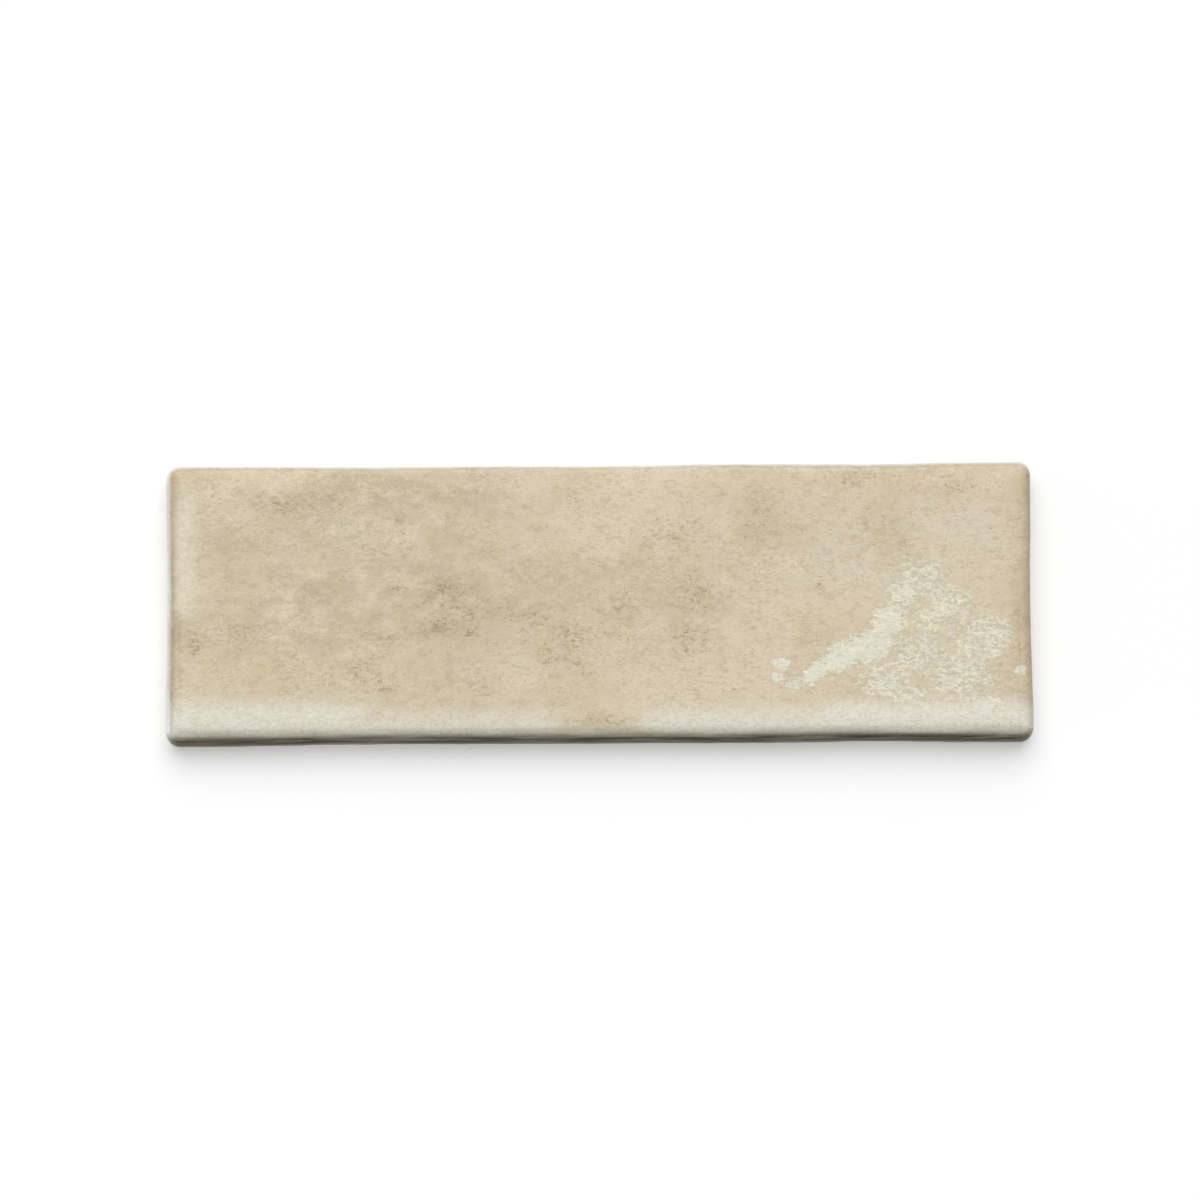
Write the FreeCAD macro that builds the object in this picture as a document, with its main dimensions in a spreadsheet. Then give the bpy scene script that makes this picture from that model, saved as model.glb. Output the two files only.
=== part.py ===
"""A glazed ceramic subway wall tile, 200 x 65 x 8 mm, as one parametric solid.

The tile lies face up. X runs along its length and Y across its width, towards its back side. Z = 0
is the bed, the plane of the ribs under it, and the origin is the centre of the bed.
"""
import FreeCAD, Part
import math
import os
import Sketcher
from FreeCAD import Placement, Rotation, Vector

# Driving dimensions, in millimetres, degrees and plain counts
SIZES = {
    "tile_length": 200.0,
    "tile_width": 65.0,
    "tile_thickness": 8.0,
    "corner_radius": 3.1,
    "side_draft": 1.0,
    "edge_wave_depth": 0.6,
    "edge_wave_length": 100.0,
    "edge_roll": 2.6,
    "cushion_drop": 1.0,
    "cushion_reach": 9.0,
    "face_wave_height": 0.12,
    "face_wave_length": 58.0,
    "bed_bevel": 0.5,
    "rib_width": 1.8,
    "rib_height": 0.6,
    "bed_margin": 4.0,
    "cells_along": 12.0,
    "cells_across": 4.0,
}
SHEET = "Sizes"
NODE = "wall_tile"

# The waves that add up to an uneven edge: (waves in one wave length, share of the depth)
WAVE_MIX = ((1.0, 0.2), (1.5, 0.2), (2.3, 0.1))
# Where those waves start on each side, in degrees
FRONT_PHASES = (215, 50, 270)
RIGHT_PHASES = (75, 200, 310)
BACK_PHASES = (163, 65, 80)
LEFT_PHASES = (230, 120, 40)
# Control points of each wavy long side and each wavy end
SIDE_POINT_COUNT = 14
END_POINT_COUNT = 7
# Places where the face is drawn near each side and end, as shares of the cushion's reach
CUSHION_STEPS = (0.0, 0.15, 0.35, 0.6, 1.0, 1.6)
# Cross-sections, and control points of each, on the level middle of the face
INNER_STATION_COUNT = 9
INNER_POINT_COUNT = 3
# The greatest roll, as a share of the corner radius
ROLL_SHARE = 0.95
# How far the face cut runs past the tile on every side, and how much taller the blank is
OVERCUT = 3.0
TRIM = 1.0


def make_sheet(doc):
    """Write the driving dimensions into a spreadsheet, one alias each."""
    sheet = doc.addObject("Spreadsheet::Sheet", SHEET)
    for row, (alias, value) in enumerate(SIZES.items(), start=1):
        sheet.set(f"A{row}", alias.replace("_", " "))
        sheet.set(f"B{row}", str(value))
        sheet.setAlias(f"B{row}", alias)
    doc.recompute()
    return sheet


def cell(alias):
    """Name a spreadsheet cell inside an expression."""
    return f"<<{SHEET}>>.{alias}"


def origin_plane(body, role):
    """Find one of the body's own origin planes."""
    return next(plane for plane in body.Origin.OriginFeatures if plane.Role == role)


def new_sketch(body, name, role, offset):
    """Attach a sketch to an origin plane, moved along its normal by an expression."""
    sketch = body.newObject("Sketcher::SketchObject", name)
    sketch.AttachmentSupport = (origin_plane(body, role), [""])
    sketch.MapMode = "FlatFace"
    sketch.setExpression("AttachmentOffset.Base.z", offset)
    return sketch


def evaluate(sketch, expression):
    """Work out an expression's present value as a plain number."""
    value = sketch.evalExpression(expression)
    return float(getattr(value, "Value", value))


def pinned(sketch, geometry, position, place):
    """Hold a point to a place: its distances across and up from the sketch's origin.

    Returns pairs of a constraint and the expression that drives it.
    """
    pairs = []
    for kind, expression in zip(("DistanceX", "DistanceY"), place):
        value = evaluate(sketch, expression)
        pairs.append((Sketcher.Constraint(kind, -1, 1, geometry, position, value), expression))
    return pairs


def constrain(sketch, pairs):
    """Add constraints to a sketch in one go, each with its expression or None."""
    indices = sketch.addConstraint([constraint for constraint, _ in pairs])
    for index, (_, expression) in zip(indices, pairs):
        if expression is not None:
            sketch.setExpression(f"Constraints[{index}]", expression)


def add_spline(sketch, poles):
    """Draw a cubic B-spline whose control points are pairs of expressions.

    Returns the index of the curve in the sketch.
    """
    points = [Vector(evaluate(sketch, across), evaluate(sketch, up), 0) for across, up in poles]
    spans = len(points) - 3
    curve = Part.BSplineCurve()
    curve.buildFromPolesMultsKnots(points, [4] + [1] * (spans - 1) + [4], list(range(spans + 1)), False, 3)
    spline = sketch.addGeometry(curve)
    handles = sketch.addGeometry([Part.Circle(point, Vector(0, 0, 1), 1) for point in points], True)
    pairs = []
    for number, (handle, pole) in enumerate(zip(handles, poles)):
        kind = "InternalAlignment:Sketcher::BSplineControlPoint"
        pairs.append((Sketcher.Constraint(kind, handle, 3, spline, number), None))
        pairs.append((Sketcher.Constraint("Weight", handle, 1), None))
        pairs += pinned(sketch, handle, 3, pole)
    constrain(sketch, pairs)
    return spline


def joined(first, second):
    """Join the end of one curve to the start of the next."""
    return Sketcher.Constraint("Coincident", first, 2, second, 1), None


def wave(place, phases):
    """Give the uneven wave of a pressed and glazed edge, from 0 to 1, at a place along it."""
    terms = ["0.5"]
    for (cycles, share), phase in zip(WAVE_MIX, phases):
        terms.append(f"{share} * sin({cycles} * 360deg * {place} / {cell('edge_wave_length')} + {phase}deg)")
    return f"({' + '.join(terms)})"


def wavy_side(length, stand_off, count, run, phases):
    """List the control points of one side of the outline, as (along, out) expressions.

    The side runs the way that run says, 1 or -1. Its first and last two points lie on the straight
    side, so that it runs smoothly into its corners.
    """
    poles = []
    for number in range(count):
        share = run * (number / (count - 1) - 0.5)
        along = f"({share} * ({length} - 2 * {cell('corner_radius')}))"
        out = stand_off
        if 2 <= number < count - 2:
            out = f"({stand_off} - {cell('edge_wave_depth')} * {wave(along, phases)})"
        poles.append((along, out))
    return poles


def draw_outline(sketch, drawn_in):
    """Draw the tile's outline: four wavy sides joined by quarter-circle corners."""
    length = f"({cell('tile_length')} - 2 * {drawn_in})"
    width = f"({cell('tile_width')} - 2 * {drawn_in})"
    half_length, half_width = f"({length} / 2)", f"({width} / 2)"
    front = wavy_side(length, half_width, SIDE_POINT_COUNT, 1, FRONT_PHASES)
    right = wavy_side(width, half_length, END_POINT_COUNT, 1, RIGHT_PHASES)
    back = wavy_side(length, half_width, SIDE_POINT_COUNT, -1, BACK_PHASES)
    left = wavy_side(width, half_length, END_POINT_COUNT, -1, LEFT_PHASES)
    sides = [
        add_spline(sketch, [(along, f"(-{out})") for along, out in front]),
        add_spline(sketch, [(out, along) for along, out in right]),
        add_spline(sketch, back),
        add_spline(sketch, [(f"(-{out})", along) for along, out in left]),
    ]
    radius = evaluate(sketch, cell("corner_radius"))
    centre_x = evaluate(sketch, half_length) - radius
    centre_y = evaluate(sketch, half_width) - radius
    signs = ((1, -1), (1, 1), (-1, 1), (-1, -1))
    for number, (sign_x, sign_y) in enumerate(signs):
        circle = Part.Circle(Vector(sign_x * centre_x, sign_y * centre_y, 0), Vector(0, 0, 1), radius)
        start = math.radians(90 * (number - 1))
        arc = sketch.addGeometry(Part.ArcOfCircle(circle, start, start + math.pi / 2))
        pairs = [joined(sides[number], arc), joined(arc, sides[(number + 1) % 4])]
        pairs.append((Sketcher.Constraint("Radius", arc, radius), cell("corner_radius")))
        constrain(sketch, pairs)


def make_blank(body):
    """Press the blank, a little taller than the finished tile.

    Its sides draw in towards the bed, whose rim is bevelled. They stand at the full size at the
    height where the rolled edge begins.
    """
    full_height = f"({cell('tile_thickness')} - {cell('cushion_drop')} - {cell('edge_roll')})"
    bevel = cell("bed_bevel")
    levels = (
        ("bed_outline", "0", bevel),
        ("bevel_outline", bevel, "0"),
        ("blank_outline", f"({cell('tile_thickness')} + {TRIM})", "0"),
    )
    outlines = []
    for name, height, bevelled in levels:
        outline = new_sketch(body, name, "XY_Plane", height)
        drafted = f"({full_height} - {height}) * tan({cell('side_draft')} * 1deg)"
        draw_outline(outline, f"({drafted} + {bevelled})")
        outlines.append(outline)
    blank = body.newObject("PartDesign::AdditiveLoft", "blank")
    blank.Profile = outlines[0]
    blank.Sections = outlines[1:]
    blank.Ruled = True
    return blank


def fall(distance):
    """Give how far the cushion edge has dropped at a distance from the side or end."""
    return f"({cell('cushion_drop')} * (1 - ({distance}) / {cell('cushion_reach')})^3)"


def edge_places(half, inner_count):
    """List places across the face, as (place, distance from the edge) expressions.

    The distance is None on the level part of the face.
    """
    outer = [(f"(-{OVERCUT})", True)]
    outer += [(f"({share} * {cell('cushion_reach')})", share < 1) for share in CUSHION_STEPS]
    near = [(f"({distance} - {half})", distance if falls else None) for distance, falls in outer]
    far = [(f"({half} - {distance})", distance if falls else None) for distance, falls in reversed(outer)]
    level_half = f"({half} - {CUSHION_STEPS[-1]} * {cell('cushion_reach')})"
    level = [(f"({2 * number / (inner_count + 1) - 1} * {level_half})", None)
             for number in range(1, inner_count + 1)]
    return near + level + far


def face_height(along, across):
    """Give the face's height over the bed at one of its places.

    Near a corner the falls towards the side and the end add up as the two legs of a right triangle.
    """
    turn = f"360deg / {cell('face_wave_length')}"
    ripple = f"(sin({turn} * {along[0]} + 40deg) * cos({turn} * {across[0]} * 0.7 + 25deg) - 1)"
    height = f"{cell('tile_thickness')} + {cell('face_wave_height')} / 2 * {ripple}"
    falls = [f"{fall(distance)}^2" for _, distance in (along, across) if distance is not None]
    if falls:
        height += f" - sqrt({' + '.join(falls)})"
    return f"({height})"


def draw_face_section(sketch, along):
    """Draw what is cut away above the face at one station: a curve below and a plain box above."""
    half_width = f"({cell('tile_width')} / 2)"
    places = edge_places(half_width, INNER_POINT_COUNT)
    poles = [(across[0], face_height(along, across)) for across in places]
    spline = add_spline(sketch, poles)
    top = f"({cell('tile_thickness')} + {OVERCUT})"
    left, right = poles[0], poles[-1]
    ends = [right, (right[0], top), (left[0], top), left]
    points = [Vector(evaluate(sketch, across), evaluate(sketch, up), 0) for across, up in ends]
    lines = [sketch.addGeometry(Part.LineSegment(a, b)) for a, b in zip(points, points[1:])]
    pairs = [joined(spline, lines[0]), joined(lines[0], lines[1])]
    pairs += [joined(lines[1], lines[2]), joined(lines[2], spline)]
    pairs += pinned(sketch, lines[0], 2, ends[1])
    pairs += pinned(sketch, lines[1], 2, ends[2])
    constrain(sketch, pairs)


def cut_face(body):
    """Shape the glazed face: almost level, gently rippled, and falling away towards every edge."""
    half_length = f"({cell('tile_length')} / 2)"
    sections = []
    for number, along in enumerate(edge_places(half_length, INNER_STATION_COUNT), start=1):
        section = new_sketch(body, f"face_section_{number:02d}", "YZ_Plane", along[0])
        draw_face_section(section, along)
        sections.append(section)
    face_cut = body.newObject("PartDesign::SubtractiveLoft", "face_cut")
    face_cut.Profile = sections[0]
    face_cut.Sections = sections[1:]
    face_cut.Ruled = False
    return face_cut


def roll_edges(body, base):
    """Round the rim of the face, where the glaze rolls over to the sides.

    The roll stays a little tighter than the corners, because it has to run round them.
    """
    heights = [face.CenterOfMass.z for face in base.Shape.Faces]
    roll = body.newObject("PartDesign::Fillet", "edge_roll")
    roll.Base = (base, [f"Face{heights.index(max(heights)) + 1}"])
    roll.setExpression("Radius", f"min({cell('edge_roll')}; {ROLL_SHARE} * {cell('corner_radius')})")
    return roll


def draw_cell_row(sketch):
    """Draw the hollows of one row across the back, at the row nearest the left end."""
    pitch_along = f"(({cell('tile_length')} - 2 * {cell('bed_margin')}) / {cell('cells_along')})"
    pitch_across = f"(({cell('tile_width')} - 2 * {cell('bed_margin')}) / {cell('cells_across')})"
    rib_half = f"{cell('rib_width')} / 2"
    left = f"({cell('bed_margin')} - {cell('tile_length')} / 2 + {rib_half})"
    right = f"({left} + {pitch_along} - {cell('rib_width')})"
    for number in range(int(SIZES["cells_across"])):
        low = f"({cell('bed_margin')} - {cell('tile_width')} / 2 + {number} * {pitch_across} + {rib_half})"
        high = f"({low} + {pitch_across} - {cell('rib_width')})"
        corners = [(left, low), (right, low), (right, high), (left, high)]
        points = [Vector(evaluate(sketch, across), evaluate(sketch, up), 0) for across, up in corners]
        lines = [sketch.addGeometry(Part.LineSegment(points[i], points[(i + 1) % 4])) for i in range(4)]
        pairs = [joined(line, lines[(side + 1) % 4]) for side, line in enumerate(lines)]
        for side, line in enumerate(lines):
            pairs.append((Sketcher.Constraint("Vertical" if side % 2 else "Horizontal", line), None))
        pairs += pinned(sketch, lines[0], 1, corners[0])
        pairs += pinned(sketch, lines[2], 1, corners[2])
        constrain(sketch, pairs)
    return pitch_along


def press_bed_relief(body):
    """Press the grid of shallow hollows that keys the back to its mortar."""
    row = new_sketch(body, "bed_cell_row", "XY_Plane", "0")
    pitch_along = draw_cell_row(row)
    hollows = body.newObject("PartDesign::Pocket", "bed_cells")
    hollows.Profile = row
    hollows.Reversed = True
    hollows.setExpression("Length", cell("rib_height"))
    body.Document.recompute()
    pattern = body.newObject("PartDesign::LinearPattern", "bed_relief")
    pattern.Originals = [hollows]
    pattern.Direction = (row, ["H_Axis"])
    pattern.setExpression("Occurrences", cell("cells_along"))
    pattern.setExpression("Length", f"({cell('cells_along')} - 1) * {pitch_along}")
    body.Tip = pattern
    return pattern


def make_tile(doc):
    """Build the tile as one body."""
    body = doc.addObject("PartDesign::Body", NODE)
    body.Label = NODE
    body.Placement = Placement(Vector(0, 0, 0), Rotation())
    steps = []
    steps.append(make_blank(body))
    doc.recompute()
    steps.append(cut_face(body))
    doc.recompute()
    steps.append(roll_edges(body, steps[-1]))
    doc.recompute()
    steps.append(press_bed_relief(body))
    doc.recompute()
    for before, after in zip(steps, steps[1:]):
        if not after.Shape.Volume < before.Shape.Volume:
            raise RuntimeError(f"{after.Label} takes nothing off {before.Label}")
    return body


def check(doc, body):
    """Stop if any object failed to build or the tile isn't one sound solid."""
    for item in doc.Objects:
        if "Invalid" in item.State or "Error" in item.State:
            raise RuntimeError(f"{item.Label} failed: {item.State}")
    if body.Shape.isNull() or not body.Shape.isValid() or len(body.Shape.Solids) != 1:
        raise RuntimeError(f"{body.Label} is not one valid solid")


def main():
    """Build the tile, check it and write it."""
    doc = FreeCAD.newDocument("subway_wall_tile")
    make_sheet(doc)
    tile = make_tile(doc)
    check(doc, tile)
    os.makedirs("parts", exist_ok=True)
    tile.Shape.exportStep(f"parts/{tile.Label}.step")
    box = tile.Shape.optimalBoundingBox(False, False)
    print(f"{tile.Label}: {box.XLength:.3f} x {box.YLength:.3f} x {box.ZLength:.3f} mm,"
          f" {tile.Shape.Volume / 1000:.2f} cm3")


main()
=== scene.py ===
"""Looks of a glazed ceramic subway wall tile, for Blender 4.5.

The tile lies face up in the frame of its solid: X along its length, Y across its width, and Z = 0
in the plane of the ribs on its back. All lengths are in metres.
"""
from __future__ import annotations

import logging
import math
from bisect import bisect_right
from dataclasses import dataclass, field
from enum import Enum
from functools import partial, reduce

import bmesh
import bpy
from mathutils import Color, Matrix, Vector, noise

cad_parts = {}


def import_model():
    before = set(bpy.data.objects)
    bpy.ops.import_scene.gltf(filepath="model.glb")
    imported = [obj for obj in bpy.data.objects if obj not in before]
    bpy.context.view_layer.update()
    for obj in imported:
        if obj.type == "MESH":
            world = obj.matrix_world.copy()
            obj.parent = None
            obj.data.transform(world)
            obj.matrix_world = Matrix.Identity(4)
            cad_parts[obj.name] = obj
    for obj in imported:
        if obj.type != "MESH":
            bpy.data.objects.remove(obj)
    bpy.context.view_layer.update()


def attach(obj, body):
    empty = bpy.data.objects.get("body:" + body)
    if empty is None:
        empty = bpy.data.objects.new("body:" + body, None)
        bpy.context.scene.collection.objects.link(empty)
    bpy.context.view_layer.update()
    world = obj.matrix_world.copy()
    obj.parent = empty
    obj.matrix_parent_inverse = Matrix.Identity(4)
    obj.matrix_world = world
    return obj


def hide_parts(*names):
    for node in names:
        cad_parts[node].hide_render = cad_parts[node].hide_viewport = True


LOG = logging.getLogger("subway_wall_tile")
MM = 0.001

Point = tuple[float, float, float]
Colour = tuple[float, float, float, float]
Socket = bpy.types.NodeSocket
Vertex = bmesh.types.BMVert

# The noises that shape the tile: their layers, how fast these fade, and where each noise is cut.
LAYERS = 3
LAYER_RATIO = 2.0
FACE_FADING = 0.9
SIDE_FADING = 0.8
SWELL_SHIFT = 0.1
DIMPLE_SHIFT = 0.4
LIP_SHIFT = 0.7

# The sockets for colours of a mixing node.
FIRST_COLOUR = 6
SECOND_COLOUR = 7
MIXED_COLOUR = 2

BRIGHTEST = 255
SPLINE_DEGREE = 3
TINY = 1e-9


def paint(*screen: int) -> Colour:
    """Turn a screen colour into the linear one that a shader takes.

    Args:
        screen: Its red, green and blue, each from 0 to 255.

    Returns:
        The linear colour, opaque.
    """
    colour = Color([part / BRIGHTEST for part in screen])
    return *colour.from_srgb_to_scene_linear(), 1.0


def smooth_step(value: float, low: float, high: float) -> float:
    """Rise smoothly from 0 to 1 as a value goes from low to high.

    Args:
        value: The value to place between the two limits.
        low: Where the result is still 0.
        high: Where the result has reached 1. It may be the smaller one.

    Returns:
        The share, from 0 to 1.
    """
    share = min(max((value - low) / (high - low), 0.0), 1.0)
    return share * share * (3 - 2 * share)


class Side(Enum):
    """The tile's sides, each with the degrees at which the waves of its edge start."""

    FRONT = (215, 50, 270)
    RIGHT = (75, 200, 310)
    BACK = (163, 65, 80)
    LEFT = (230, 120, 40)


class Mask(Enum):
    """What the mesh tells its glaze, by the name of the attribute that holds it: marks, then the rest."""

    SMUDGE = "smudge"
    WORN = "worn"
    BLOOM = "bloom"
    BLUSH = "blush"
    RUST = "rust"
    SHADE = "shade"
    HEIGHT = "glaze_height"
    # Painted shade on the rolled edge and side, strongest at the front, with a thin line in the dip of the
    # left end's roll.
    PAINTED_SHADE = "painted_edge_shade"
    # Painted highlight along the rolled edges of the back and the left end.
    PAINTED_HIGHLIGHT = "painted_highlight"


@dataclass(frozen=True)
class Mark:
    """A soft oval mark on the face.

    Its place and its two half widths are in millimetres, its turn in degrees. Its edge is the share
    of its reach over which it fades out.
    """

    x: float
    y: float
    reach_x: float
    reach_y: float
    strength: float = 1.0
    turn: float = 0.0
    edge: float = 1.0

    def weight(self, x: float, y: float) -> float:
        """Give the mark's weight at a place on the face.

        Args:
            x: The place along the tile, in metres.
            y: The place across the tile, in metres.

        Returns:
            The weight, from 0 to the mark's strength.
        """
        away_x, away_y = x / MM - self.x, y / MM - self.y
        turn = math.radians(self.turn)
        along = (away_x * math.cos(turn) + away_y * math.sin(turn)) / self.reach_x
        across = (away_y * math.cos(turn) - away_x * math.sin(turn)) / self.reach_y
        return self.strength * self.fade(along, across)

    def fade(self, along: float, across: float) -> float:
        """Fade from the middle outward, by the two distances in reaches."""
        return smooth_step(math.hypot(along, across), 1.0, 1.0 - self.edge)


@dataclass(frozen=True)
class Band(Mark):
    """A long mark that fades across its whole width, but along its length only near the ends."""

    full: float = 0.6

    def fade(self, along: float, across: float) -> float:
        """Fade across the band and towards its ends, by the two distances in reaches."""
        return smooth_step(abs(along), 1.0, self.full) * smooth_step(abs(across), 1.0, 1.0 - self.edge)


# The marks on the face, as the numbers of each one's fields: most are what the tile has taken in firing and
# in use, and one shade mark is painted shade.
FACE_MARKS: dict[Mask, tuple[tuple[float, ...], ...]] = {
    Mask.SMUDGE: (
        (-35.4, 3.4, 6, 3.8, 0.95), (-38.8, 1, 3.2, 4, 0.6), (-30.4, -2.2, 3.8, 4.8, 0.85),
        (-30, -6.8, 3.6, 3.8, 0.8), (-36.8, -5.8, 4.8, 3.6, 0.95, 25), (-40, -7.2, 3.6, 3, 0.6),
        (-33.5, -1, 12, 11, 0.5), (-21, -1.8, 6, 4, 0.5), (-14.6, -4, 6, 4, 0.55), (-11.8, -13, 5, 4, 0.55),
        (-26.6, -19.4, 6, 4, 0.4), (-48.8, -8.5, 3.5, 3.5, 0.75), (-46.8, 2.8, 4.5, 4, 0.6),
        (-92.8, -9.6, 3.5, 5, 0.7), (-74.3, 23.4, 10, 5, 0.55), (-45.4, 18.7, 4.5, 3, 0.5),
        (-49.3, -20.1, 4.5, 4, 0.65), (-54.2, -15.5, 8, 6, 0.5), (-82.2, -7.4, 8, 5, 0.45),
        (-15.9, -3.1, 5, 4, 0.45), (-6.7, -8.8, 7, 7, 0.55), (-4.9, -13.7, 6, 4.5, 0.5),
        (5.5, -2, 11, 8, 0.45), (1.9, -8.1, 9, 6, 0.45), (20.5, -8.5, 10, 6, 0.6), (22.6, 1.5, 9, 9, 0.55),
        (36.8, 20.4, 8, 8, 0.42), (18, 16, 14, 8, 0.35), (51.6, 2.7, 4.5, 3.5, 0.5),
        (59.3, 28.3, 9, 4, 0.55), (83.6, 26.5, 9, 5, 0.45), (-93.2, -26.7, 3.5, 3.5, 0.6),
        (0.5, -28.4, 9, 3.2, 0.6),
    ),
    Mask.WORN: (
        (41.8, -14.5, 4, 2.2, 1, 0, 0.7), (40.8, -17.8, 2.5, 2.1, 1, 0, 0.7),
        (45.3, -19.4, 4.8, 3, 0.9, 20, 0.7), (49.7, -16.6, 7, 4, 0.98, 40, 0.7),
        (56, -13, 9.5, 5.2, 1.02, 32, 0.7), (62.5, -11, 10.5, 6.4, 1.04, 12, 0.7),
        (66.5, -5.5, 6.8, 8.6, 1.02, -14, 0.7), (70.5, 1.8, 8.8, 8, 0.95, 0, 0.9),
        (74.5, 4.4, 11, 10, 0.88, 0, 0.9), (76, -5, 8, 7, 0.74, 0, 0.9), (81, -1, 12.5, 9.5, 0.82, -30, 0.9),
        (87, -9, 13, 10.5, 0.8, 0, 0.8), (92, -8, 6, 7, 0.84, -20, 0.8), (96.8, -16.6, 2.2, 2.2, 1, 0, 0.6),
        (74, -12.5, 14, 9.5, 0.84, 0, 0.8), (66, -18.6, 12.5, 8, 0.82, -8, 0.9),
        (83, -18, 14, 9.5, 0.81, 0, 0.8), (72, -23.5, 11, 6.4, 0.82, 0, 0.9),
        (88.4, -24.6, 8.4, 5.8, 0.92, 0, 0.8),
    ),
    Mask.BLOOM: (
        (-88, -28.4, 46, 10.8, 0.88), (-40, -29.4, 42, 8.2, 0.78), (6, -31, 26, 4.4, 0.56),
        (42, -29.6, 42, 8.4, 0.96), (84, -28.8, 44, 9.4, 1.16), (-95.4, 11, 19, 5.2, 0.46, 90),
        (-20, 32.5, 60, 3.6, 0.4),
    ),
    Mask.BLUSH: (
        (-60, 16, 22, 12, 0.5), (57.7, 9.5, 20, 14, 0.8), (83, 18, 26, 14, 0.8), (88, -18, 18, 12, 0.4),
        (-20, -12, 24, 12, 0.4),
    ),
    Mask.RUST: (
        (-98, 30, 4.8, 5, 0.9), (-72, 29, 16, 4, 0.3), (-78, -15, 16, 7, 0.45), (-53, -16, 12, 8, 0.35),
        (50, -6, 12, 6, 0.3),
    ),
    # Darker tone in broad patches, and darker along the left half of the back edge; the narrow mark at the
    # left end (x -97) is painted shade in the dip of the rolled edge.
    Mask.SHADE: (
        (-46, 2, 52, 26, 0.82), (-80, -4, 24, 22, 0.5), (18, -2, 36, 20, 0.4), (-84, 12, 14, 18, 0.7),
        (-50, 25, 52, 12, 1), (-68, 0, 34, 26, 0.85), (-97, -6, 5, 18, 0.9),
    ),
}


@dataclass
class WavyEdge:
    """One uneven edge of the tile, drawn with the same control points as in its solid."""

    side: Side
    run: float
    point_count: int
    depth: float = 0.6 * MM
    wave_length: float = 100 * MM
    waves: tuple[tuple[float, float], ...] = ((1.0, 0.2), (1.5, 0.2), (2.3, 0.1))
    mean: float = 0.5
    straight: int = 2
    steps: int = 8
    places: list[float] = field(init=False)
    insets: list[float] = field(init=False)

    def __post_init__(self) -> None:
        """Trace the edge once, for all the points that are looked up later."""
        traced = self.trace()
        self.places = [point.x for point in traced]
        self.insets = [point.y for point in traced]

    def controls(self) -> list[Vector]:
        """Work out the control points of the edge.

        Returns:
            The points, as (place along the side, inset). The first and last few are on the
            straight side.
        """
        points = []
        for number in range(self.point_count):
            place = self.run * (number / (self.point_count - 1) - 0.5)
            inset = 0.0
            if self.straight <= number < self.point_count - self.straight:
                inset = self.mean
                for (cycles, share), phase in zip(self.waves, self.side.value):
                    turn = math.tau * cycles * place / self.wave_length
                    inset += share * math.sin(turn + math.radians(phase))
            points.append(Vector((place, inset * self.depth)))
        return points

    def trace(self) -> list[Vector]:
        """Follow the cubic B-spline of the control points from end to end.

        Returns:
            Points of the curve, close together.
        """
        controls = self.controls()
        spans = self.point_count - SPLINE_DEGREE
        order = SPLINE_DEGREE + 1
        knots = [0] * order + list(range(1, spans)) + [spans] * order
        traced = []
        for step in range(spans * self.steps + 1):
            span = min(step // self.steps, spans - 1)
            at = step / self.steps
            points = [controls[span + number].copy() for number in range(order)]
            for level in range(1, order):
                for number in range(SPLINE_DEGREE, level - 1, -1):
                    low = knots[span + number]
                    high = knots[span + number + order - level]
                    points[number] = points[number - 1].lerp(points[number], (at - low) / (high - low))
            traced.append(points[-1])
        return traced

    def inset(self, place: float) -> float:
        """Give how far the edge stands in from the straight side.

        Args:
            place: The place along the side.

        Returns:
            The inset there, 0 at the corners.
        """
        if not self.places[0] < place < self.places[-1]:
            return 0.0
        after = bisect_right(self.places, place)
        share = (place - self.places[after - 1]) / (self.places[after] - self.places[after - 1])
        return self.insets[after - 1] * (1 - share) + self.insets[after] * share


@dataclass(frozen=True)
class Span:
    """The limits between which a value rises smoothly, and what it then comes to, from bottom to top."""

    low: float
    high: float
    top: float = 1.0
    bottom: float = 0.0

    def at(self, value: float) -> float:
        """Give what a value comes to."""
        return self.bottom + (self.top - self.bottom) * smooth_step(value, self.low, self.high)


@dataclass(frozen=True)
class Grain:
    """A noise pattern and what is made of it.

    Its pitch is the size of its patches along each axis, in millimetres. Its roughness says how much
    its finer layers count, and its shift makes it differ from other patterns. Its span says what its
    values come to, and under says it for the low ones where those have a use of their own.
    """

    pitch: Point
    layers: float
    roughness: float
    shift: float = 0.0
    span: Span = Span(0.0, 1.0)
    under: Span = Span(1.0, 0.0)


def new_node(tree: bpy.types.NodeTree, kind: str, values: dict[str | int, object] | None = None,
             **settings: str) -> bpy.types.Node:
    """Add a node to a tree.

    Args:
        tree: The node tree.
        kind: The type of the node.
        values: What goes into its inputs: plain values or other nodes' outputs.
        settings: The node's own settings.

    Returns:
        The new node.
    """
    node = tree.nodes.new(kind)
    for name, value in settings.items():
        setattr(node, name, value)
    for name, value in (values or {}).items():
        if isinstance(value, Socket):
            tree.links.new(value, node.inputs[name])
        else:
            node.inputs[name].default_value = value
    return node


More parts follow.
